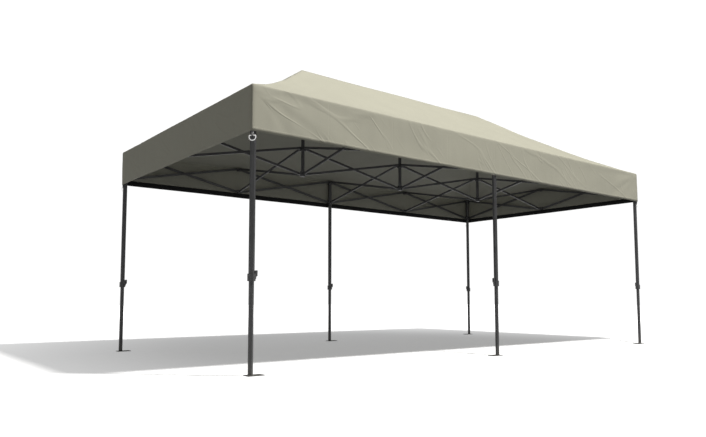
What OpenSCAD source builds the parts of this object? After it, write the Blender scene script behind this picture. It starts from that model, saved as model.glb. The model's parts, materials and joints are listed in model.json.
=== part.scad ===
// Pop up canopy, 6 m by 3 m: six telescopic legs, three masts and a grid of scissor bars under a hipped roof.
// +X runs along the length, +Y across the width, +Z up; the origin is on the ground under the middle mast.

/* [Grid of scissor bars] */
// Distance between neighbouring frame nodes along the length
cell_x = 1479; // [1350:1:1550]
// Distance between neighbouring frame nodes across the width
cell_y = 1496; // [1440:1:1540]
// Height of the upper row of pivots above the ground
upper_pivot_z = 2284; // [2200:1:2300]
// Height of the lower row of pivots above the ground
lower_pivot_z = 1994; // [1950:1:2050]
// Distance from a node's centre to its pivots along the length
reach_x = 42; // [42:0.5:46]

/* [Scissor bars] */
// Height of a bar's section
bar_h = 26; // [22:1:26]
// Thickness of a bar's section
bar_t = 13; // [10:0.5:13]
// Wall of a bar
bar_wall = 1.5; // [1:0.1:2]
// Radius of every pivot pin
pin_r = 4; // [3:0.1:5]
// Radial clearance of a bar's hole on its pin
pin_gap = 0.05; // [0.03:0.01:0.1]
// Gap between a bar and what it is pinned to
side_gap = 1; // [0.5:0.1:1.5]

/* [Legs] */
// Upper leg tube, across the flats
leg_upper_af = 42; // [38:0.5:42]
// Lower leg tube, across the flats
leg_lower_af = 36; // [30:0.5:36]
// Wall of both leg tubes
leg_wall = 2; // [1.2:0.1:2]
// Height of the lower end of the upper leg tube
leg_joint_z = 734; // [720:1:740]
// How far the lower tube reaches up inside the upper one
leg_overlap = 350; // [200:10:500]
// Thickness of the foot plate
foot_t = 6; // [4:0.5:8]
// Length of the foot plate from the leg's axis to its far end
foot_reach = 106; // [98:1:110]
// Width of the foot plate
foot_w = 84; // [72:1:90]
// Radius of the stake holes in a foot plate
stake_r = 5.5; // [4:0.5:7]

/* [Masts] */
// Radius of the outer mast tube
mast_outer_r = 20; // [17:0.5:20]
// Radius of the pole that rises from it to the ridge
mast_inner_r = 17; // [12:0.5:17]
// Height of the top of a mast
mast_top_z = 3158; // [3100:1:3160]

/* [Canopy] */
// How far the roof's outer face stands outside the leg axes
overhang = 32; // [30:0.5:40]
// Height of the fold between roof and valance
eave_z = 2300; // [2299:0.5:2310]
// Height of the ridge
ridge_z = 3188; // [3185:1:3300]
// Half the length of the ridge
ridge_half = 1500; // [1495:1:1600]
// Height of the valance's lower edge
valance_z = 1918; // [1850:1:1930]
// Thickness of the cloth
cloth_t = 2; // [1.5:0.1:2.5]
// Height of the fastening band inside the valance's lower edge
band_h = 50; // [30:1:60]

/* [Hidden] */
side_names = ["left", "right"];
row_names = ["front", "centre", "back"];
leg_names = ["front_left", "front_middle", "front_right", "back_left", "back_middle", "back_right"];
$fn = 48;
dark = [0.16, 0.16, 0.165];
plastic = [0.12, 0.12, 0.125];
steel = [0.75, 0.75, 0.76];
beige = [0.66, 0.64, 0.56];
tube_cut = 2;
leg_cap_t = 3;
pin_play = 0.4;
tube_end = 10;
reach_y = reach_x + (cell_y - cell_x) / 2;
run = cell_x - 2 * reach_x;
rise = upper_pivot_z - lower_pivot_z;
bar_len = sqrt(run * run + rise * rise);
bar_angle = atan2(rise, run);
eye_r = bar_h / 2;
eye_len = 20;
tongue_t = bar_t - 0.5;
head_r = 7;
head_t = 3;
bar_out = side_gap + bar_t;
block_half = 27;
block_bevel = 5;
hub_top = 13;
hub_bottom = 32;
slider_half_h = 30;
slider_gap = 0.5;
lower_hub_half = 22;
cup_depth = 6;
cup_gap = 0.5;
joint_half = 20;
collar_af = 56;
collar_bottom = leg_joint_z - 3;
collar_top = leg_joint_z + 55;
collar_gap = 0.5;
lever_w = 22;
stake_x = 66;
stake_dx = 44;
stake_dy = 56;
roof_x = 2 * cell_x + overhang;
roof_y = cell_y + overhang;
ring_r = 27;
ring_wire = 3.5;
ring_side = 13;
ring_z = valance_z - 48;
mast_tube_rise = 250;

function side_of(name) = name == "left" ? -1 : name == "right" ? 1 : 0;
function row_of(name) = name == "front" ? -1 : name == "back" ? 1 : 0;
function lever_dir(col, row) = col < 0 ? 1 : col > 0 ? -1 : row < 0 ? -1 : 1;

// A six-sided prism with two flats facing along X
module hex_prism(af, h) {
    rotate([0, 0, 30]) cylinder(r = af / sqrt(3), h = h, $fn = 6);
}

// A square block with bevelled corners, centred on the axis
module block(half, z0, z1) {
    b = block_bevel;
    translate([0, 0, z0]) linear_extrude(z1 - z0)
        polygon([[-half, -half + b], [-half + b, -half], [half - b, -half], [half, -half + b],
                 [half, half - b], [half - b, half], [-half + b, half], [-half, half - b]]);
}

// One ear along +X: a tongue on one side, and the pin that a bar turns on. hand is 1 where the bar is on the left.
module ear(from, reach, hand) {
    start = hand > 0 ? -tongue_t : 0;
    translate([from, start, -eye_r + 1]) cube([reach - from, tongue_t, 2 * eye_r - 2]);
    translate([reach, start, 0]) rotate([-90, 0, 0]) cylinder(r = eye_r - 1, h = tongue_t);
    far = bar_out + pin_play;
    translate([reach, hand > 0 ? start : -far, 0]) rotate([-90, 0, 0]) cylinder(r = pin_r, h = tongue_t + far);
    translate([reach, hand > 0 ? far : -far - head_t, 0]) rotate([-90, 0, 0]) cylinder(r = head_r, h = head_t);
}

// The ears of the node at column col and row row of the grid, one towards each neighbour
module ears(col, row, from, hand) {
    for (a = [0, 90, 180, 270]) {
        reach = a % 180 == 0 ? reach_x : reach_y;
        inside = a == 0 ? col < 2 : a == 180 ? col > -2 : a == 90 ? row < 1 : row > -1;
        if (inside) rotate([0, 0, a]) ear(from, reach, hand);
    }
}

// A bar along +X from its inner pivot, beside the centre plane. hand 1 carries the middle pin, -1 turns on it.
module bar(hand) {
    y0 = hand > 0 ? side_gap : -bar_out;
    hole = pin_r + pin_gap;
    difference() {
        union() {
            difference() {
                translate([eye_len, y0, -bar_h / 2]) cube([bar_len - 2 * eye_len, bar_t, bar_h]);
                translate([eye_len - tube_cut, y0 + bar_wall, -bar_h / 2 + bar_wall])
                    cube([bar_len - 2 * (eye_len - tube_cut), bar_t - 2 * bar_wall, bar_h - 2 * bar_wall]);
            }
            if (hand > 0) translate([bar_len / 2, 0, 0]) rotate([-90, 0, 0]) {
                far = bar_out + pin_play;
                translate([0, 0, -far]) cylinder(r = pin_r, h = bar_out + far);
                translate([0, 0, bar_out]) cylinder(r = head_r, h = head_t);
                translate([0, 0, -far - head_t]) cylinder(r = head_r, h = head_t);
            }
        }
        if (hand < 0) translate([bar_len / 2, y0 - 1, 0]) rotate([-90, 0, 0]) cylinder(r = hole, h = bar_t + 2);
    }
    for (end = [0, 1]) translate([end * bar_len, 0, 0]) mirror([end, 0, 0]) difference() {
        union() {
            translate([0, y0, 0]) rotate([-90, 0, 0]) cylinder(r = eye_r, h = bar_t);
            translate([0, y0, -eye_r]) cube([eye_len, bar_t, 2 * eye_r]);
        }
        translate([0, y0 - 1, 0]) rotate([-90, 0, 0]) cylinder(r = hole, h = bar_t + 2);
    }
}

// A bar placed in the grid, outward from the node at col and row in direction dir. way 1 goes down, -1 up.
module placed_bar(col, row, dir, way) {
    reach = dir % 180 == 0 ? reach_x : reach_y;
    z = way > 0 ? upper_pivot_z : lower_pivot_z;
    translate([col * cell_x, row * cell_y, z]) rotate([0, 0, dir]) translate([reach, 0, 0])
        rotate([0, way * bar_angle, 0]) bar(way);
}

// Upper leg: tube, fixed upper hub and the collar with the height lock at its lower end
module leg(col, row) {
    translate([col * cell_x, row * cell_y, 0]) {
        color(dark) difference() {
            translate([0, 0, leg_joint_z]) hex_prism(leg_upper_af, upper_pivot_z + hub_top - leg_joint_z);
            translate([0, 0, leg_joint_z - 1])
                hex_prism(leg_upper_af - 2 * leg_wall, upper_pivot_z + hub_top - leg_joint_z - leg_cap_t + 1);
        }
        color(plastic) translate([0, 0, upper_pivot_z]) {
            difference() {
                union() {
                    block(block_half, -hub_bottom, hub_top);
                    ears(col, row, block_half - 3, 1);
                }
                translate([0, 0, -hub_bottom - 1]) hex_prism(leg_upper_af, hub_bottom + hub_top + 2);
            }
        }
        color(plastic) lock(lever_dir(col, row));
    }
}

// Collar round the end of the upper tube, which guides the lower tube, with its lever towards dir
module lock(dir) {
    difference() {
        translate([0, 0, collar_bottom]) hex_prism(collar_af, collar_top - collar_bottom);
        translate([0, 0, leg_joint_z]) hex_prism(leg_upper_af, collar_top);
        translate([0, 0, collar_bottom - 1]) hex_prism(leg_lower_af + 2 * collar_gap, 10);
    }
    x0 = collar_af / 2;
    mirror([dir < 0 ? 1 : 0, 0, 0]) translate([0, lever_w / 2, 0]) rotate([90, 0, 0]) linear_extrude(lever_w)
        polygon([[x0, collar_bottom + 12], [x0 + 8, collar_bottom + 20], [x0 + 10, collar_bottom + 36],
                 [x0 + 20, collar_bottom + 42], [x0 + 21, collar_top + 24], [x0 + 16, collar_top + 28],
                 [x0 + 2, collar_top + 26], [x0, collar_top]]);
}

// Lower leg: tube and foot plate with four stake holes, reaching out towards dir
module lower_leg(col, row) {
    dir = lever_dir(col, row);
    back = foot_w / 2 - 4;
    translate([col * cell_x, row * cell_y, 0]) {
        color(dark) difference() {
            translate([0, 0, foot_t]) hex_prism(leg_lower_af, leg_joint_z + leg_overlap - foot_t);
            translate([0, 0, foot_t + tube_end]) hex_prism(leg_lower_af - 2 * leg_wall, leg_joint_z + leg_overlap);
        }
        color(dark) difference() {
            translate([dir > 0 ? -back : -foot_reach, -foot_w / 2, 0]) cube([foot_reach + back, foot_w, foot_t]);
            for (x = [-1, 1], y = [-1, 1])
                translate([dir * (stake_x + x * stake_dx / 2), y * stake_dy / 2, -1])
                    cylinder(r = stake_r, h = foot_t + 2);
        }
    }
}

// Sliding hub that runs on the upper leg tube
module slider(col, row) {
    color(plastic) translate([col * cell_x, row * cell_y, lower_pivot_z]) difference() {
        union() {
            block(block_half, -slider_half_h, slider_half_h);
            ears(col, row, block_half - 3, -1);
        }
        translate([0, 0, -slider_half_h - 1])
            hex_prism(leg_upper_af + 2 * slider_gap, 2 * slider_half_h + 2);
    }
}

// Mast: upper hub, outer tube, inner pole and the round cap under the ridge
module mast(col) {
    tube_z = lower_pivot_z + slider_half_h - cup_depth + 0.5;
    hub_z = upper_pivot_z;
    tube_top = hub_z + mast_tube_rise;
    pole_z = hub_z + 60;
    ring_h = 12;
    cap_r = 30;
    cap_t = 14;
    translate([col * cell_x, 0, 0]) {
        color(dark) difference() {
            translate([0, 0, tube_z]) cylinder(r = mast_outer_r, h = tube_top - tube_z);
            translate([0, 0, tube_z - 1]) cylinder(r = mast_inner_r, h = tube_top - tube_z + 2);
        }
        color(dark) translate([0, 0, pole_z]) cylinder(r = mast_inner_r, h = mast_top_z - cap_t - pole_z);
        color(plastic) difference() {
            translate([0, 0, tube_top]) cylinder(r = mast_outer_r + 3, h = ring_h);
            translate([0, 0, tube_top - 1]) cylinder(r = mast_inner_r, h = ring_h + 2);
        }
        color(plastic) difference() {
            translate([0, 0, mast_top_z - cap_t]) cylinder(r = cap_r, h = cap_t);
            translate([0, 0, mast_top_z - cap_t]) rotate_extrude()
                polygon([[cap_r - 5, cap_t + 1], [cap_r + 1, cap_t + 1], [cap_r + 1, cap_t - 5], [cap_r, cap_t - 5]]);
        }
        color(plastic) translate([0, 0, hub_z]) difference() {
            union() {
                block(block_half, -hub_bottom, hub_top);
                ears(col, 0, block_half - 3, 1);
            }
            translate([0, 0, -hub_bottom - 1]) cylinder(r = mast_outer_r, h = hub_bottom + hub_top + 2);
        }
    }
}

// Lower hub under a mast, with a cup in which the mast's foot sits while the frame is open
module mast_hub(col) {
    color(plastic) translate([col * cell_x, 0, lower_pivot_z]) difference() {
        union() {
            block(lower_hub_half + 2, -slider_half_h, slider_half_h);
            ears(col, 0, lower_hub_half - 1, -1);
        }
        translate([0, 0, slider_half_h - cup_depth])
            cylinder(r = mast_outer_r + cup_gap, h = cup_depth + 1);
    }
}

// Plain four-way joint that hangs free between the bars. hand 1 is an upper one, -1 a lower one.
module joint(col, row, hand) {
    z = hand > 0 ? upper_pivot_z : lower_pivot_z;
    color(plastic) translate([col * cell_x, row * cell_y, z]) {
        block(joint_half, -joint_half, hand > 0 ? eye_r : joint_half);
        ears(col, row, joint_half - 1, hand);
    }
}

// Cross bars of the two columns on one side, with the joints that only they and the end bars meet at
module cross_bars(side) {
    for (col = [side, 2 * side], dir = [90, 270], way = [1, -1])
        color(dark) placed_bar(col, 0, dir, way);
    for (row = [-1, 1]) joint(side, row, 1);
    for (hand = [1, -1]) joint(2 * side, 0, hand);
}

// Hipped roof volume over a valance box, drawn in by inset on every side
module roof_volume(inset) {
    x = roof_x - inset;
    y = roof_y - inset;
    drop = inset / cos(atan2(ridge_z - eave_z, roof_y));
    skin = 0.2;
    hull() {
        translate([-x, -y, eave_z - drop - skin]) cube([2 * x, 2 * y, skin]);
        translate([-ridge_half, -skin, ridge_z - drop - skin]) cube([2 * ridge_half, 2 * skin, skin]);
    }
    translate([-x, -y, valance_z - inset]) cube([2 * x, 2 * y, eave_z - drop - valance_z + inset]);
}

// Canopy: one closed skin of roof and valance, and the fastening band inside its lower edge
module canopy() {
    color(beige) difference() {
        roof_volume(0);
        roof_volume(cloth_t);
    }
    band_t = 1;
    color(plastic) difference() {
        translate([-roof_x + cloth_t, -roof_y + cloth_t, valance_z])
            cube([2 * (roof_x - cloth_t), 2 * (roof_y - cloth_t), band_h]);
        translate([-roof_x + cloth_t + band_t, -roof_y + cloth_t + band_t, valance_z - 1])
            cube([2 * (roof_x - cloth_t - band_t), 2 * (roof_y - cloth_t - band_t), band_h + 2]);
    }
}

// D-shaped ring on a strap under each corner of the valance
module tie_rings() {
    bar_z = ring_z + ring_side - 1;
    bar_half = ring_r + ring_wire + 0.5;
    for (x = [-1, 1], y = [-1, 1]) translate([x * (roof_x - 14), y * (roof_y - 12), 0])
        rotate([0, 0, x * y > 0 ? -45 : 45]) {
            color("gray") translate([-10, -0.8, bar_z]) cube([20, 1.6, valance_z - bar_z + 20]);
            color("white") translate([0, 0, ring_z]) rotate([90, 0, 0]) {
                difference() {
                    rotate_extrude() translate([ring_r, 0]) circle(r = ring_wire, $fn = 16);
                    translate([-ring_r - 9, 0, -9]) cube([2 * ring_r + 18, ring_r + 9, 18]);
                }
                for (side = [-ring_r, ring_r]) translate([side, 0, 0]) rotate([-90, 0, 0])
                    cylinder(r = ring_wire, h = ring_side, $fn = 16);
                translate([-bar_half, ring_side - 1, 0]) rotate([0, 90, 0])
                    cylinder(r = ring_wire, h = 2 * bar_half, $fn = 16);
            }
        }
}

canopy();
tie_rings();
for (name = leg_names) {
    row = name[0] == "f" ? -1 : 1;
    last = name[len(name) - 1];
    col = last == "e" ? 0 : name[len(name) - 2] == "f" ? -2 : 2;
    leg(col, row);
    lower_leg(col, row);
    slider(col, row);
}
for (name = ["left", "centre", "right"]) {
    mast(side_of(name));
    mast_hub(side_of(name));
}
for (row = row_names, side = side_names, place = ["inner", "outer"], way = ["down", "up"]) {
    s = side_of(side);
    color(dark) placed_bar(place == "inner" ? 0 : s, row_of(row), s > 0 ? 0 : 180, way == "down" ? 1 : -1);
}
for (row = ["front", "back"], way = ["down", "up"])
    color(dark) placed_bar(0, 0, row == "front" ? 270 : 90, way == "down" ? 1 : -1);
for (row = ["front", "back"], side = side_names)
    joint(side_of(side), row_of(row), -1);
cross_bars(-1);  // cross_bars_left
cross_bars(1);  // cross_bars_right
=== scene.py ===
"""The look of the pop up canopy.

Adds the cloth with its fastening band, the tie rings, and the bars and joints that share a CAD node.
"""
import json
import math

import bmesh
import bpy
import numpy as np
from mathutils import Matrix, Vector, noise

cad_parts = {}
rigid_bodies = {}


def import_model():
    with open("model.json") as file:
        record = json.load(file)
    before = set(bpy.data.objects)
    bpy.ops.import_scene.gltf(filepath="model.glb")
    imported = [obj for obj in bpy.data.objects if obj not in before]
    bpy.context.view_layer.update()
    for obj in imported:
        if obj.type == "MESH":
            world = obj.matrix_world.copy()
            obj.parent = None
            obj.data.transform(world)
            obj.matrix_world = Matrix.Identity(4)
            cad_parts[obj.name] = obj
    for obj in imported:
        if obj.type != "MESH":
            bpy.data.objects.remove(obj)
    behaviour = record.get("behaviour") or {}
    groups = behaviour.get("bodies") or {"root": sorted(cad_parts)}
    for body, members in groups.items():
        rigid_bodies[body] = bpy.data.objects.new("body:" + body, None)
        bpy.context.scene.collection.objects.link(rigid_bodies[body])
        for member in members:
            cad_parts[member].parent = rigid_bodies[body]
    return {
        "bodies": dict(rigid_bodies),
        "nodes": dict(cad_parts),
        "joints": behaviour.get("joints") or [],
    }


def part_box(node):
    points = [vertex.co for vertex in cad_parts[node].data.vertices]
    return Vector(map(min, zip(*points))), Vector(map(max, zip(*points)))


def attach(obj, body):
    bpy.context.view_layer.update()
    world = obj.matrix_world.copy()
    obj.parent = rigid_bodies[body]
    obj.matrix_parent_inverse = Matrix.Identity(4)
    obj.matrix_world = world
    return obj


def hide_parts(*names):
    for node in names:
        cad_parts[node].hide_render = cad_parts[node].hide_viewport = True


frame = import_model()
nodes, bodies = frame["nodes"], frame["bodies"]
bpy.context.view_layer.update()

LEGS = [f"{row}_{place}" for row in ("front", "back") for place in ("left", "middle", "right")]
CORNERS = [name for name in LEGS if not name.endswith("middle")]


# ---------------------------------------------------------------- sizes, worked out from the frame

def joint_at(name):
    """Where a joint's pivot is at rest."""
    return Vector(next(j["pos_m"] for j in frame["joints"] if j["name"] == name))


def mesh_points(node):
    """The points of a node's mesh, one a row."""
    mesh = nodes[node].data
    points = np.zeros(len(mesh.vertices) * 3)
    mesh.vertices.foreach_get("co", points)
    return points.reshape(-1, 3)


def middle_of(node):
    """The middle of a node's box."""
    return sum(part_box(node), Vector()) / 2


def leg_axis(name):
    """The vertical axis of a leg, as x and y."""
    x = {"left": -2, "middle": 0, "right": 2}[name.split("_")[1]] * CELL_X
    return x, CELL_Y if name.startswith("back") else -CELL_Y


CELL_X = middle_of("mast_right").x                       # one cell of the scissor grid
CELL_Y = joint_at("leg_back_right_pivot").y
UPPER_PIVOT_Z = joint_at("leg_back_right_pivot").z
roof_low, roof_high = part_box("canopy")
ROOF_X, ROOF_Y, RIDGE_Z = roof_high                      # outer faces of the valance, and the ridge
VALANCE_Z = roof_low.z
cad_shell = mesh_points("canopy")
EAVE_Z = float(cad_shell[cad_shell[:, 0] > ROOF_X - 1e-4][:, 2].max())
RIDGE_X = float(cad_shell[cad_shell[:, 2] > RIDGE_Z - 1e-4][:, 0].max())
RING_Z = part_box("tie_rings")[0].z


# ---------------------------------------------------------------- camera, floor and light

def camera(at, heading, climb, lens, shift):
    """heading is measured from +Y towards +X, climb from level; both in degrees."""
    data = bpy.data.cameras.new("camera")
    data.lens, data.sensor_width = lens, 36
    data.shift_x, data.shift_y = shift
    data.clip_end = 200
    eye = bpy.data.objects.new("camera", data)
    eye.location = at
    eye.rotation_euler = (math.radians(90 + climb), 0, math.radians(-heading))
    bpy.context.collection.objects.link(eye)
    bpy.context.scene.camera = eye


camera(at=(-5.427, -5.887, 0.586), heading=37.95, climb=4.666, lens=32.51, shift=(0.0072, 0.0414))
bpy.context.scene.view_settings.view_transform = "Standard"


class Shader:
    """A node material being built: one Principled shader, and calls that add nodes in front of it."""

    def __init__(self, name, **values):
        self.material = bpy.data.materials.new(name)
        self.material.use_nodes = True
        self.tree = self.material.node_tree
        self.surface = self.tree.nodes["Principled BSDF"]
        for key, value in values.items():
            self.put(self.surface, key.replace("_", " "), value)

    def put(self, node, key, value):
        socket = node.inputs[key]
        if isinstance(value, bpy.types.NodeSocket):
            self.tree.links.new(value, socket)
        elif socket.type == "RGBA" and len(value) == 3:
            socket.default_value = (*value, 1)
        else:
            socket.default_value = value

    def node(self, kind, settings=None, **inputs):
        node = self.tree.nodes.new("ShaderNode" + kind)
        for key, value in (settings or {}).items():
            setattr(node, key, value)
        for key, value in inputs.items():
            self.put(node, key, value)
        return node

    def math(self, operation, *values):
        node = self.node("Math", {"operation": operation})
        for i, value in enumerate(values):
            self.put(node, i, value)
        return node.outputs[0]

    def places(self, stretch=(1, 1, 1)):
        """The piece's own coordinates, in metres, stretched along each axis."""
        coordinates = self.node("TexCoord").outputs["Object"]
        return self.node("Mapping", Vector=coordinates, Scale=stretch).outputs[0]

    def split(self, vector):
        return self.node("SeparateXYZ", Vector=vector).outputs

    def noise(self, scale, detail=3.0, vector=None, rough=0.5):
        inputs = {"Scale": scale, "Detail": detail, "Roughness": rough}
        return self.node("TexNoise", Vector=vector or self.places(), **inputs).outputs[0]

    def span(self, value, low, high, to_low=0.0, to_high=1.0):
        """value taken from low..high to to_low..to_high, and held there."""
        node = self.node("MapRange", {"clamp": True, "interpolation_type": "SMOOTHSTEP"})
        for i, v in enumerate((value, low, high, to_low, to_high)):
            self.put(node, i, v)
        return node.outputs[0]

    def mix(self, share, a, b):
        node = self.node("Mix", {"data_type": "RGBA"})
        for key, value in ((0, share), (6, a), (7, b)):
            self.put(node, key, value)
        return node.outputs[2]

    def shade(self, colour, share, low, high):
        """colour made darker or lighter as share goes from 0 to 1."""
        return self.mix(share, tuple(c * low for c in colour), tuple(c * high for c in colour))

    def bump(self, height, distance, strength, normal=None):
        inputs = {"Height": height, "Distance": distance, "Strength": strength}
        if normal:
            inputs["Normal"] = normal
        return self.node("Bump", **inputs).outputs[0]

    def finish(self, **inputs):
        for key, value in inputs.items():
            self.put(self.surface, key.replace("_", " "), value)
        return self.material


FLOOR_HALF = 60
FLOOR_WHITE = (0.9, 0.9, 0.9)
LAMP_AT = (0.25, -4.7, 8.8)
LAMP_ENERGY, LAMP_RADIUS, LAMP_TINT = 46, 0.35, (1, 0.99, 0.97)
SEEN_WHITE, SEEN_STRENGTH = (1, 1, 1, 1), 1.05           # the studio as the camera sees it
LIT_WHITE, LIT_STRENGTH = (0.98, 0.99, 1, 1), 0.17       # and as it lights the object


def add_floor():
    """A white floor. It glows a little more with distance, so that it ends in white on every side."""
    s = Shader("pale_floor", Roughness=0.9)
    grain = s.noise(0.7, 2.0)
    away = s.node("VectorMath", {"operation": "LENGTH"}, Vector=s.places((1, 0.8, 1))).outputs["Value"]
    glow = s.math("ADD", s.span(away, 2.0, 6.5, 0.29, 0.68), s.span(away, 6.5, 14, 0.0, 0.6))
    paper = s.finish(Base_Color=s.shade(FLOOR_WHITE, grain, 0.985, 1.01), Emission_Color=(1, 1, 1, 1),
                     Emission_Strength=glow)
    mesh = bpy.data.meshes.new("floor")
    corners = [(x * FLOOR_HALF, y * FLOOR_HALF, 0) for x, y in ((-1, -1), (1, -1), (1, 1), (-1, 1))]
    mesh.from_pydata(corners, [], [(0, 1, 2, 3)])
    mesh.materials.append(paper)
    floor = bpy.data.objects.new("floor", mesh)
    floor.visible_diffuse = False
    bpy.context.collection.objects.link(floor)


def add_lamp():
    """One lamp, as strong far away as near."""
    lamp = bpy.data.lights.new("key", "POINT")
    lamp.energy, lamp.shadow_soft_size, lamp.color = LAMP_ENERGY, LAMP_RADIUS, LAMP_TINT
    lamp.use_nodes = True
    falloff = lamp.node_tree.nodes.new("ShaderNodeLightFalloff")
    falloff.inputs["Strength"].default_value = 1
    glow = lamp.node_tree.nodes["Emission"]
    lamp.node_tree.links.new(falloff.outputs["Constant"], glow.inputs["Strength"])
    key = bpy.data.objects.new("key", lamp)
    key.location = LAMP_AT
    bpy.context.collection.objects.link(key)


def add_studio():
    """White all round: bright where the camera sees it, faint where it lights the object."""
    world = bpy.data.worlds.new("studio")
    world.use_nodes = True
    bpy.context.scene.world = world
    tree = world.node_tree
    seen, lit = tree.nodes["Background"], tree.nodes.new("ShaderNodeBackground")
    for background, white, strength in ((seen, SEEN_WHITE, SEEN_STRENGTH), (lit, LIT_WHITE, LIT_STRENGTH)):
        background.inputs["Color"].default_value = white
        background.inputs["Strength"].default_value = strength
    path, mix = tree.nodes.new("ShaderNodeLightPath"), tree.nodes.new("ShaderNodeMixShader")
    tree.links.new(path.outputs["Is Camera Ray"], mix.inputs[0])
    tree.links.new(lit.outputs[0], mix.inputs[1])
    tree.links.new(seen.outputs[0], mix.inputs[2])
    tree.links.new(mix.outputs[0], tree.nodes["World Output"].inputs["Surface"])


add_floor()
add_lamp()
add_studio()


# ---------------------------------------------------------------- materials

CHARCOAL = (0.053, 0.053, 0.055)
CLOTH = (0.53, 0.515, 0.41)
LINING = (0.40, 0.395, 0.325)
BARE_METAL = (0.21, 0.21, 0.215)
DUST = (0.32, 0.3, 0.26)
DUST_HEIGHT = 0.16


def powder_coat(name, worn_by_foot=False):
    """Charcoal powder coat: orange peel, dull patches, long scuffs, and dust near the ground."""
    s = Shader(name, Metallic=0.0, Specular_IOR_Level=0.5)
    patches, peel = s.noise(9, 4), s.noise(620, 2)
    streak = s.noise(1, 4, vector=s.places((160, 160, 5)))
    colour = s.mix(patches, tuple(c * 0.82 for c in CHARCOAL), tuple(c * 1.2 for c in CHARCOAL))
    scuffs = s.math("MULTIPLY", s.span(streak, 0.62, 0.74), s.span(patches, 0.45, 0.62))
    colour = s.mix(s.math("MULTIPLY", scuffs, 0.35), colour, BARE_METAL)
    if worn_by_foot:
        z = s.split(s.places())[2]
        dust = s.math("MULTIPLY", s.span(z, 0.0, DUST_HEIGHT, 0.5, 0.0), s.noise(60, 5))
        colour = s.mix(dust, colour, DUST)
    rough = s.span(s.math("ADD", patches, s.math("MULTIPLY", scuffs, 0.5)), 0.2, 1.1, 0.34, 0.62)
    return s.finish(Base_Color=colour, Roughness=rough, Normal=s.bump(peel, 0.0002, 0.35))


def nylon(name, colour):
    """Black moulded nylon: a fine matt grain with faint flow marks."""
    s = Shader(name)
    flow, grain = s.noise(38, 3, rough=0.6), s.noise(1500, 2)
    rough = s.span(flow, 0.3, 0.7, 0.46, 0.62)
    return s.finish(Base_Color=s.shade(colour, flow, 0.75, 1.45), Roughness=rough,
                    Normal=s.bump(grain, 0.00015, 0.5))


def woven(s, u, v, pitch):
    """Height of a plain weave, 0 to 1, where u and v run along the threads in metres."""
    turns = 2 * math.pi / pitch
    across = s.math("SINE", s.math("MULTIPLY", u, turns))
    along = s.math("SINE", s.math("MULTIPLY", v, turns))
    return s.math("MULTIPLY_ADD", s.math("MULTIPLY", across, along), 0.5, 0.5)


STITCH = 0.0045                                          # from one stitch to the next
SEAM_ROWS, EAVE_ROWS = (0.004, 0.0105), (0.002, 0.010)   # stitch rows from a hip, and up from the eave
SEAM_WIDTH, EAVE_WIDTH = 0.012, 0.006                    # half the width of the doubled cloth at each
HEM_DEPTH, HEM_ROW = 0.030, 0.028                        # of the valance's lower edge
WEAVE_PITCH, TAPE_RIB = 0.0011, 0.0022
PACKED_ALONG, PACKED_ACROSS = 0.74, 0.44                 # spacing of the creases from packing


def stitches(s, distance, along, rows):
    """1 on the threads of stitch rows that lie at these distances, 0 between."""
    total = 0.0
    for row in rows:
        off = s.math("ABSOLUTE", s.math("SUBTRACT", distance, row))
        total = s.math("ADD", total, s.span(off, 0.0005, 0.0012, 1.0, 0.0))
    dash = s.math("SINE", s.math("MULTIPLY", along, 2 * math.pi / STITCH))
    return s.math("MULTIPLY", total, s.span(dash, -0.6, -0.2))


def packed(s, along, spacing, sway, width):
    """0 on the straight creases from packing, 1 between them."""
    turn = s.math("MULTIPLY_ADD", along, math.pi / spacing, sway)
    return s.span(s.math("ABSOLUTE", s.math("SINE", turn)), 0.0, width)


def creased(s, uv, turn, scale, rare):
    """Long thin creases that run at an angle, in patches: 1 on a crease, 0 between."""
    turned = s.node("Mapping", Vector=uv, Rotation=(0, 0, math.radians(turn))).outputs[0]
    drawn = s.node("Mapping", Vector=turned, Scale=(scale * 0.4, scale * 2.3, 1)).outputs[0]
    ripple = s.math("ABSOLUTE", s.math("SUBTRACT", s.noise(1, 2, vector=drawn, rough=0.4), 0.5))
    patch = s.noise(0.9 * scale, 2, vector=uv)
    return s.math("MULTIPLY", s.span(ripple, 0.0, 0.026, 1.0, 0.0), s.span(patch, rare - 0.06, rare + 0.08))


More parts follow.
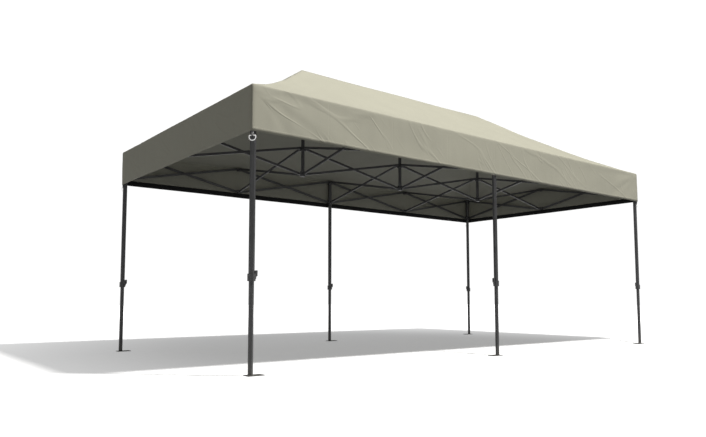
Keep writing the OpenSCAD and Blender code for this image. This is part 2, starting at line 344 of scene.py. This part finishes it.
def cloth(name, colour, crease_strength, packed_strength, smooth, dull):
    """Coated polyester: plain weave, soft blotches, packing creases, felled seams and their stitches."""
    s = Shader(name, Specular_IOR_Level=0.3, Sheen_Weight=0.08, Sheen_Roughness=0.5)
    uv = s.node("UVMap", {"uv_map": "cloth"}).outputs[0]
    u, v, _ = s.split(uv)
    hip = s.node("Attribute", {"attribute_name": "hip"}).outputs["Fac"]
    weave = woven(s, u, v, WEAVE_PITCH)
    slubs = s.noise(1, 3, vector=s.node("Mapping", Vector=uv, Scale=(260, 9, 1)).outputs[0])
    blotch = s.noise(2.2, 5, vector=uv, rough=0.62)
    folds = s.math("MINIMUM", packed(s, u, PACKED_ALONG, s.math("MULTIPLY", blotch, 0.12), 0.035),
                   packed(s, v, PACKED_ACROSS, s.math("MULTIPLY", blotch, 0.1), 0.05))
    wrinkles = s.math("MAXIMUM", creased(s, uv, 21, 1.4, 0.45), creased(s, uv, 47, 2.3, 0.50))
    step = 0.0015                                        # how softly a doubled layer ends
    seam = s.span(hip, SEAM_WIDTH, SEAM_WIDTH + step, 1.0, 0.0)
    hem = s.span(v, HEM_DEPTH - EDGE_V, HEM_DEPTH + step - EDGE_V, 1.0, 0.0)
    eave = s.math("ABSOLUTE", s.math("SUBTRACT", v, EAVE_WIDTH))
    eave = s.span(eave, EAVE_WIDTH, EAVE_WIDTH + step, 1.0, 0.0)
    layers = s.math("MAXIMUM", s.math("MAXIMUM", seam, hem), eave)
    thread = s.math("MAXIMUM", stitches(s, hip, v, SEAM_ROWS),
                    stitches(s, v, u, (HEM_ROW - EDGE_V, *EAVE_ROWS)))
    worn = s.math("ADD", s.math("MULTIPLY", blotch, 0.7), s.math("MULTIPLY", slubs, 0.3))
    tone = s.shade(colour, worn, 0.9, 1.09)
    for place, share, lighter in ((weave, 0.12, 0.7), (layers, 0.1, 0.6), (thread, 0.5, 1.25)):
        tone = s.mix(s.math("MULTIPLY", place, share), tone, tuple(min(1, c * lighter) for c in colour))
    normal = None
    for height, distance, strength in ((wrinkles, 0.0024, crease_strength), (folds, 0.0008, packed_strength),
                                       (layers, 0.0009, 0.8), (thread, 0.0005, 0.7), (weave, 0.00022, 0.45)):
        normal = s.bump(height, distance, strength, normal)
    return s.finish(Base_Color=tone, Roughness=s.span(blotch, 0.25, 0.8, smooth, dull), Normal=normal)


def webbing(name, colour):
    """Woven tape: a twill of ribs with darker gaps."""
    s = Shader(name)
    x, y, z = s.split(s.places())
    run = s.math("ADD", s.math("ADD", x, y), z)
    slant = s.math("SINE", s.math("MULTIPLY", run, 2 * math.pi / TAPE_RIB))
    rib = s.span(slant, -0.7, 0.8)
    fuzz = s.noise(900, 3)
    return s.finish(Base_Color=s.shade(colour, s.math("MULTIPLY", rib, fuzz), 0.65, 1.5), Roughness=0.85,
                    Normal=s.bump(rib, 0.0004, 0.8, s.bump(fuzz, 0.0003, 0.5)))


def hook_and_loop(name):
    """Black fastening tape: a dull nap of tiny loops."""
    s = Shader(name, Roughness=0.95, Specular_IOR_Level=0.2)
    nap, wear = s.noise(1300, 2), s.noise(25, 3)
    colour = s.shade((0.007, 0.007, 0.0075), s.math("MULTIPLY", nap, wear), 0.5, 2.4)
    return s.finish(Base_Color=colour, Normal=s.bump(nap, 0.0009, 0.9))


def moulded_white_painted_glow(name):
    """White moulded plastic, with a painted glow: a faint emission that brightens it although it is no lamp.
    """
    s = Shader(name, Roughness=0.28, Emission_Color=(1, 1, 0.98, 1), Emission_Strength=0.5)
    cloud = s.noise(45, 3)
    return s.finish(Base_Color=s.shade((0.84, 0.84, 0.82), cloud, 0.94, 1.04),
                    Normal=s.bump(s.noise(300, 2), 0.0001, 0.3))


EDGE_V = EAVE_Z - VALANCE_Z                              # depth of the valance, measured from the eave fold
leg_coat = powder_coat("leg_coat", worn_by_foot=True)
bar_coat = powder_coat("bar_coat")
hub_nylon = nylon("hub_nylon", (0.03, 0.03, 0.032))
cloth_outside = cloth("cloth_outside", CLOTH, crease_strength=0.7, packed_strength=0.5,
                      smooth=0.72, dull=0.86)
cloth_inside = cloth("cloth_inside", LINING, crease_strength=0.25, packed_strength=0.3,
                     smooth=0.6, dull=0.74)
band_tape = hook_and_loop("band_tape")
strap_webbing = webbing("strap_webbing", (0.5, 0.5, 0.49))
# the tie rings' white, with a painted glow that lifts them above the light they get from the lamp
ring_white_painted_glow = moulded_white_painted_glow("ring_white_painted_glow")


def finish_cad_nodes():
    """Every CAD node keeps its shape and takes its material by what it is made of."""
    for name, node in nodes.items():
        coated = name.startswith(("leg_", "lower_leg_"))
        moulded = name.startswith(("slider_", "mast_hub_", "lower_joint_"))
        material = leg_coat if coated else hub_nylon if moulded else bar_coat
        for slot in node.material_slots:
            slot.material = material


finish_cad_nodes()


# ---------------------------------------------------------------- mesh and motion helpers

def piece(name, points, faces, materials):
    """A new smooth object with this mesh."""
    mesh = bpy.data.meshes.new(name)
    mesh.from_pydata([tuple(p) for p in points], [], faces)
    for material in materials:
        mesh.materials.append(material)
    mesh.polygons.foreach_set("use_smooth", [True] * len(mesh.polygons))
    obj = bpy.data.objects.new(name, mesh)
    bpy.context.collection.objects.link(obj)
    return obj


def apply_modifiers(obj):
    """Replaces the object's mesh by what its modifiers make of it."""
    final = bpy.data.meshes.new_from_object(obj.evaluated_get(bpy.context.evaluated_depsgraph_get()))
    obj.modifiers.clear()
    obj.data = final
    return obj


def tidy_normals(obj):
    """Joins points that lie together and turns the faces outwards."""
    cleaner = bmesh.new()
    cleaner.from_mesh(obj.data)
    bmesh.ops.remove_doubles(cleaner, verts=cleaner.verts, dist=2e-5)
    bmesh.ops.recalc_face_normals(cleaner, faces=cleaner.faces)
    cleaner.to_mesh(obj.data)
    cleaner.free()


def hook(obj, name, target, weights=None):
    """The piece's points follow target by their weights; with no weights, all of them follow it."""
    group = obj.vertex_groups.new(name=name)
    count = len(obj.data.vertices)
    if weights is None:
        group.add(range(count), 1.0, "REPLACE")
    else:
        for i in np.nonzero(weights > 1e-4)[0]:
            group.add([int(i)], float(weights[i]), "REPLACE")
    follow = obj.modifiers.new(name, "HOOK")
    follow.object = target
    follow.vertex_group = group.name
    follow.falloff_type = "NONE"
    follow.strength = 1.0
    follow.center = (0, 0, 0)
    follow.matrix_inverse = Matrix.Identity(4)


def follower(name, parent=None, x=None, y=None, z=None):
    """An empty that turns with its parent and takes each coordinate from the body named for it."""
    empty = bpy.data.objects.new(name, None)
    bpy.context.collection.objects.link(empty)
    if parent:
        empty.parent = bodies[parent]
    for axis, body in (("x", x), ("y", y), ("z", z)):
        if body:
            copy = empty.constraints.new("COPY_LOCATION")
            copy.target = bodies[body]
            copy.use_x, copy.use_y, copy.use_z = (axis == a for a in "xyz")
    return empty


# ---------------------------------------------------------------- canopy

SIDE_STEPS, END_STEPS, CORNER_STEPS = 240, 124, 4        # quads along a long side, a short side, a corner
FOLD = 0.012                                             # how far the eave's rounding reaches from the fold
SKIN = 0.0014                                            # thickness of the cloth
CORNER_RADIUS = 0.018
LEG_NEAR, LEG_DIP = 0.25, 0.0012                         # near a leg the cloth dips in no further than this
HIP_SAG, PANEL_SAG, RIDGE_SAG = 0.050, 0.072, 0.004
DRAGS = ((0.10, 0.0055, 1.3), (0.24, 0.0048, 0.9),       # folds that fan out from a corner:
         (0.52, 0.0036, 0.55), (1.1, 0.003, 0.4))        # slope, depth and how far they reach
WHERE = ("where_x", "where_y", "where_share", "where_side", "where_along")


def ring(half_x, half_y, corner):
    """One loop round the canopy: points, normals, side numbers, places along a side, distances to its end."""
    points, normals, sides, along, ends = [], [], [], [], []
    turns = ((0, half_x, half_y, SIDE_STEPS), (1, half_y, half_x, END_STEPS),
             (2, half_x, half_y, SIDE_STEPS), (3, half_y, half_x, END_STEPS))
    for side, half, depth, steps in turns:
        quarter = Matrix.Rotation(side * math.pi / 2, 2)
        reach = half - corner
        for k in range(steps + 1):
            t = -reach + 2 * reach * k / steps
            points.append(quarter @ Vector((t, -depth)))
            normals.append(quarter @ Vector((0, -1)))
            sides.append(side)
            along.append(t)
            ends.append(half - abs(t))
        for k in range(1, CORNER_STEPS):
            a = math.pi / 2 * k / CORNER_STEPS
            out = Vector((math.sin(a), -math.cos(a)))
            points.append(quarter @ (Vector((reach, -(depth - corner))) + corner * out))
            normals.append(quarter @ out)
            first = a < math.pi / 4
            sides.append(side if first else (side + 1) % 4)
            on_this = reach + corner * a
            on_next = corner - depth - corner * (math.pi / 2 - a)
            along.append(on_this if first else on_next)
            ends.append(abs(a - math.pi / 4) * corner)
    return np.array(points), np.array(normals), np.array(sides), np.array(along), np.array(ends)


def valance_rows(count, bottom=VALANCE_Z, top=EAVE_Z - FOLD):
    """Rows up the valance: share of the way to the ridge, height, distance up from the fold, lean."""
    return [(0.0, z, z - EAVE_Z, 0.0) for z in np.linspace(bottom, top, count).tolist()]


def roof_rows(count):
    """The rounded fold at the eave, then rows up to the ridge."""
    pitch = math.atan2(RIDGE_Z - EAVE_Z, ROOF_Y)
    rows = []
    for t in (0.25, 0.5, 0.75):
        inset = FOLD * math.cos(pitch) * t * t
        z = EAVE_Z - FOLD * (1 - t) ** 2 + FOLD * math.sin(pitch) * t * t
        rows.append((inset / ROOF_Y, z, FOLD * (2 * t - 1), t))
    slope = math.hypot(ROOF_Y, RIDGE_Z - EAVE_Z)
    for share in np.linspace(FOLD / slope, 1, count).tolist():
        rows.append((share, EAVE_Z + (RIDGE_Z - EAVE_Z) * share, slope * share, 1.0))
    return rows


def soft(value, low, high):
    """0 below low, 1 above high, and a smooth rise between."""
    t = np.clip((value - low) / (high - low), 0, 1)
    return t * t * (3 - 2 * t)


def field(u, v, side, scale_u, scale_v, seed):
    """Smooth noise over the cloth, -1 to 1."""
    apart = 7.3                                          # keeps the four sides' noise unlike
    places = zip(u * scale_u, v * scale_v, side * apart + seed)
    return np.array([noise.noise(place) for place in places])


def drape(u, v, side, end):
    """How far the cloth stands off its flat panels, outwards, in metres."""
    down = np.clip(-v / EDGE_V, 0, 1)
    up = np.clip(v, 0, None)
    on_roof = soft(v, 0.0, 0.15)
    height = 0.0022 + 0.0075 * soft(down, 0.05, 1) * (1 - on_roof) + 0.007 * on_roof
    broad = field(u, v, side, 1.7, 2.1, 1) * height
    folds = field(u, v, side, 6.5, 1.6, 2)
    folds = (1 - np.abs(folds) * 2.2) * 0.0022 * (0.3 + 0.7 * soft(down, 0, 0.6))
    pucker = field(u, v, side, 17, 3.5, 3) * 0.0018 * np.exp(-np.abs(v) / 0.09)
    drags = np.zeros_like(u)
    for slope, depth, length in DRAGS:
        across = (-v - slope * end) / (0.012 + 0.075 * end)
        fading = depth * np.exp(-end / length) * soft(end, 0.0, 0.06)
        drags -= fading * np.exp(-across ** 2)
        drags += 0.6 * fading * np.exp(-(across - 1.5) ** 2)
    pull = field(end, v * 0.55, side, 9, 1.0, 4) * 0.0042 * np.exp(-end / 0.55) * on_roof
    streaks = field(u, v, side, 3.6, 0.9, 5) * 0.0035 * on_roof * np.exp(-up / 1.2)
    return broad + folds * (1 - 0.6 * on_roof) + pucker + drags * (1 - 0.7 * on_roof) + pull + streaks


def cloth_sheet(name, rows, offset, materials):
    """A sheet on the canopy's surface, with its UV in metres and each point's place for the hooks."""
    points, uvs, hips, faces, wheres = [], [], [], [], []
    for share, z, v, lean in rows:
        half_x = ROOF_X + (RIDGE_X - ROOF_X) * share
        half_y = ROOF_Y * (1 - share)
        plan, normal, side, along, end = ring(half_x, half_y, min(CORNER_RADIUS, half_y * 0.5))
        count = len(plan)
        long_side = side % 2 == 0
        reach = np.where(long_side, half_x, max(half_y, 1e-6))
        panel = HIP_SAG + (PANEL_SAG - HIP_SAG) * (1 - np.clip(along / reach, -1, 1) ** 2)
        sag = panel * 4 * share * (1 - share) * (1.25 - 0.5 * share)
        sag += RIDGE_SAG * share ** 4 * np.sin(math.pi * np.clip(plan[:, 0] / CELL_X, -1, 1)) ** 2
        heights = np.full(count, z) - sag
        stand = drape(along, np.full(count, v), side, end) * soft(1 - share, 0.0, 0.1)
        to_legs = [np.hypot(plan[:, 0] - x, plan[:, 1] - y) for x, y in map(leg_axis, LEGS)]
        near_leg = np.minimum.reduce(to_legs) < LEG_NEAR
        stand = np.where(near_leg, np.maximum(stand, -LEG_DIP), stand)
        pitch = math.atan2(RIDGE_Z - EAVE_Z, ROOF_Y) * lean
        tilt = math.sin(pitch), math.cos(pitch)
        out = np.column_stack([normal * (1 - lean + tilt[0] * lean), np.full(count, lean * tilt[1])])
        out /= np.linalg.norm(out, axis=1)[:, None]
        base = np.column_stack([plan, heights])
        points.extend(base + out * (stand - offset)[:, None])
        uvs.extend(np.column_stack([along + 10 * side, np.full(count, v)]))
        hips.extend(end)
        wheres.extend(np.column_stack([base[:, 0], base[:, 1], np.full(count, share), side, along]))
    size = len(plan)
    for r in range(len(rows) - 1):
        for k in range(size):
            n = (k + 1) % size
            faces.append((r * size + k, r * size + n, (r + 1) * size + n, (r + 1) * size + k))
    obj = piece(name, points, faces, materials)
    layer = obj.data.uv_layers.new(name="cloth")
    loops = np.zeros(len(obj.data.loops), int)
    obj.data.loops.foreach_get("vertex_index", loops)
    layer.data.foreach_set("uv", np.array(uvs)[loops].ravel())
    for label, values in (("hip", hips), *zip(WHERE, np.array(wheres).T)):
        attribute = obj.data.attributes.new(label, "FLOAT", "POINT")
        attribute.data.foreach_set("value", np.array(values, np.float32))
    tidy_normals(obj)
    thick = obj.modifiers.new("thickness", "SOLIDIFY")
    thick.thickness, thick.offset, thick.use_rim = SKIN, -1, True
    thick.material_offset = len(materials) - 1
    return apply_modifiers(obj)


PLEATS = 3                                               # per cell
CAP_REACH, RIDGE_END_REACH = 0.05, 0.07                  # the cloth this near a mast's axis moves as one
PLEAT_DEPTH, SWAG_DEPTH = 0.045, 0.5                     # share of a leg's and of the lower hub's travel


def drawn_in(place, far, held, shares, at_top):
    """How far out a place lies, -1 to 1. Near the ridge it is the same all over the cloth round each cap."""
    whole = np.interp(np.abs(place), (0, far), (0, 1))
    capped = np.interp(np.abs(place), held, shares)
    return np.sign(place) * (whole + (capped - whole) * at_top)


def follow_frame(obj):
    """Hooks a cloth piece to the frame: drawn in with the legs, pleated at the sides, low in each cell."""
    read = {}
    for label in WHERE:
        read[label] = np.zeros(len(obj.data.vertices), np.float32)
        obj.data.attributes[label].data.foreach_get("value", read[label])
    at_top = soft(read["where_share"], 0.75, 0.95)
    held_x = (0, CAP_REACH, CELL_X - CAP_REACH, CELL_X + RIDGE_END_REACH, 2 * CELL_X)
    x = drawn_in(read["where_x"], 2 * CELL_X, held_x, (0, 0, 0.5, 0.5, 1), at_top)
    y = drawn_in(read["where_y"], CELL_Y, (0, CAP_REACH, CELL_Y), (0, 0, 1), at_top)
    weights = {}
    for name in LEGS:
        row = (1 + y) / 2 if name.startswith("back") else (1 - y) / 2
        if name.endswith("middle"):
            weights["leg_" + name] = (1 - np.abs(x)) * np.clip(y if name.startswith("back") else -y, 0, 1)
        else:
            weights["leg_" + name] = row * np.clip(x if name.endswith("right") else -x, 0, 1)
    low_down = (1 - read["where_share"]) ** 3
    cell = np.where(read["where_side"] % 2 == 0, CELL_X, CELL_Y)
    pleat = np.abs(np.sin(PLEATS * math.pi * read["where_along"] / cell)) * PLEAT_DEPTH * low_down
    outward = {0: "leg_back_middle", 1: "mast_left", 2: "leg_front_middle", 3: "mast_right"}
    for side, body in outward.items():
        extra = np.where(np.round(read["where_side"]) == side, pleat, 0)
        weights[body] = weights.get(body, 0) + extra
    swag = np.sin(math.pi * 2 * x) ** 2 * np.sin(math.pi * y) ** 2
    weights["mast_hub_centre"] = swag * SWAG_DEPTH * soft(read["where_share"], 0.0, 0.2)
    for body, share in weights.items():
        hook(obj, "follow_" + body, bodies[body], share)


BAND_HEIGHT, BAND_GAP = 0.06, 0.0004


def canopy():
    """The cloth and the fastening band inside its lower edge, one sheet between them."""
    sheet = cloth_sheet("canopy_cloth", valance_rows(16) + roof_rows(62), 0.0, [cloth_outside, cloth_inside])
    band_rows = valance_rows(3, VALANCE_Z + 0.001, VALANCE_Z + BAND_HEIGHT)
    band = cloth_sheet("fastening_band", band_rows, SKIN + BAND_GAP, [band_tape])
    for obj in (sheet, band):
        follow_frame(obj)
        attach(obj, "mast_centre")
    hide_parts("canopy")


canopy()


# ---------------------------------------------------------------- tie rings

def tube(name, path, radius, material, closed=False, sides=12):
    """A round bar along a path of points."""
    count = len(path)
    points, faces = [], []
    normal = None
    for k, p in enumerate(path):
        before = path[k - 1] if closed or k else p
        after = path[(k + 1) % count] if closed or k < count - 1 else p
        tangent = (after - before).normalized()
        normal = tangent.orthogonal() if normal is None else normal - tangent * normal.dot(tangent)
        normal.normalize()
        side = tangent.cross(normal)
        for j in range(sides):
            a = 2 * math.pi * j / sides
            points.append(p + radius * (math.cos(a) * normal + math.sin(a) * side))
    for k in range(count if closed else count - 1):
        for j in range(sides):
            n, m = (j + 1) % sides, (k + 1) % count
            faces.append((k * sides + j, k * sides + n, m * sides + n, m * sides + j))
    if not closed:
        faces += [tuple(range(sides))[::-1], tuple((count - 1) * sides + j for j in range(sides))]
    return piece(name, points, faces, [material])


WIRE, RING_HALF, RING_STRAIGHT, RING_BEND = 0.0035, 0.027, 0.007, 0.006
TAPE_HALF_WIDTH, TAPE_THICK = 0.010, 0.0014
TAPE_APART = 0.0012                                      # each leaf of the strap from the middle between them
TAPE_STEPS = 4                                           # quads across the strap
RING_INSET_X, RING_INSET_Y = 0.014, 0.012                # from the valance's outer faces


def ring_outline():
    """The D shape, as pairs of place across and height: the arc below, then the top with its two bends."""
    low_z = RING_Z + WIRE + RING_HALF
    top = low_z + RING_STRAIGHT
    outline = [(RING_HALF * math.cos(a), low_z + RING_HALF * math.sin(a))
               for a in np.linspace(math.pi, 2 * math.pi, 25)]
    reach = RING_HALF - RING_BEND
    bend = [(reach + RING_BEND * math.cos(a), top + RING_BEND * math.sin(a))
            for a in np.linspace(0, math.pi / 2, 6)]
    return outline + bend + [(-across, z) for across, z in bend[::-1]], top + RING_BEND


def strap_outline(bar_z):
    """The strap from the side, as pairs of place outwards and height: down, round the ring's bar, and up."""
    gap = WIRE + 0.0011
    loop = [(gap * math.sin(a), bar_z - gap * math.cos(a)) for a in np.linspace(-math.pi / 2, math.pi / 2, 9)]
    sewn, nipped = VALANCE_Z + 0.03, bar_z + 0.012
    return [(-TAPE_APART, sewn), (-TAPE_APART, nipped), *loop, (TAPE_APART, nipped), (TAPE_APART, sewn)]


def tie_ring(corner):
    """A white D-ring in a loop of grey webbing, sewn inside the corner of the valance."""
    sx, sy = (1 if corner.endswith("right") else -1), (1 if corner.startswith("back") else -1)
    across = Vector((sx, -sy, 0)).normalized()
    out = Vector((sx, sy, 0)).normalized()
    up = Vector((0, 0, 1))
    centre = Vector((sx * (ROOF_X - RING_INSET_X), sy * (ROOF_Y - RING_INSET_Y), 0))
    outline, bar_z = ring_outline()
    path = [centre + across * r + up * z for r, z in outline]
    loop = tube(f"tie_ring_{corner}", path, WIRE, ring_white_painted_glow, closed=True, sides=14)
    profile = strap_outline(bar_z)
    places = np.linspace(-TAPE_HALF_WIDTH, TAPE_HALF_WIDTH, TAPE_STEPS + 1).tolist()
    points = [centre + across * w + out * d + up * z for d, z in profile for w in places]
    faces = []
    for r in range(len(profile) - 1):
        for k in range(TAPE_STEPS):
            first, above = r * (TAPE_STEPS + 1) + k, (r + 1) * (TAPE_STEPS + 1) + k
            faces.append((first, first + 1, above + 1, above))
    strap = piece(f"ring_strap_{corner}", points, faces, [strap_webbing])
    thick = strap.modifiers.new("thickness", "SOLIDIFY")
    thick.thickness, thick.offset = TAPE_THICK, 0
    apply_modifiers(strap)
    for obj in (loop, strap):
        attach(obj, "leg_" + corner)
    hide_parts("tie_rings")


for corner_name in CORNERS:
    tie_ring(corner_name)


# ---------------------------------------------------------------- bars and joints that Blender folds

def loose_parts(node):
    """The separate solids of a CAD node, each as its points and faces, always in the same order."""
    whole = bmesh.new()
    whole.from_mesh(nodes[node].data)
    bmesh.ops.remove_doubles(whole, verts=whole.verts, dist=1e-6)
    seen = set()
    for start in whole.verts:
        if start in seen:
            continue
        seen.add(start)
        todo, part = [start], set()
        while todo:
            v = todo.pop()
            part.add(v)
            for e in v.link_edges:
                other = e.other_vert(v)
                if other not in seen:
                    seen.add(other)
                    todo.append(other)
        order = sorted(part, key=lambda v: v.index)
        index = {v: i for i, v in enumerate(order)}
        faces = [tuple(index[v] for v in f.verts) for f in whole.faces if f.verts[0] in part]
        yield [v.co.copy() for v in order], faces
    whole.free()


def fold_group(side):
    """The bars and free joints of the two columns on one side, each with a motion of its own."""
    corner = "front_" + side
    for points, faces in loose_parts("cross_bars_" + side):
        corners = np.array(points)
        low, high = corners.min(axis=0), corners.max(axis=0)
        middle = (low + high) / 2
        column = 1 if abs(middle[0]) < 1.5 * CELL_X else 2
        moved_x = "mast_" + side if column == 1 else "leg_" + corner
        row = "front" if middle[1] < 0 else "back"
        if high[1] - low[1] > 0.5 * CELL_Y:
            towards_low = corners[corners[:, 2] < middle[2] - 0.05][:, 1]
            way = "down" if np.abs(towards_low).mean() > CELL_Y / 2 else "up"
            name = f"cross_bar_{side}{column}_{row}_{way}"
            guide = follower("guide_" + name, parent=f"cross_bar_{row}_{way}", x=moved_x)
            material, slot = bar_coat, "bar_steel"
        else:
            upper = middle[2] > UPPER_PIVOT_Z - 0.1
            at_row = row if abs(middle[1]) > CELL_Y / 2 else "middle"
            name = f"joint_{side}{column}_{at_row}_{'upper' if upper else 'lower'}"
            moved_y = None if at_row == "middle" else f"leg_{row}_middle"
            moved_z = None if upper else "slider_front_middle"
            guide = follower("guide_" + name, x=moved_x, y=moved_y, z=moved_z)
            material, slot = hub_nylon, "joint_nylon"
        obj = piece(name, points, faces, [material])
        obj.data.set_sharp_from_angle(angle=math.radians(35))
        hook(obj, "fold", guide)
        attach(obj, moved_x)
        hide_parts("cross_bars_" + side)


for side_name in ("left", "right"):
    fold_group(side_name)
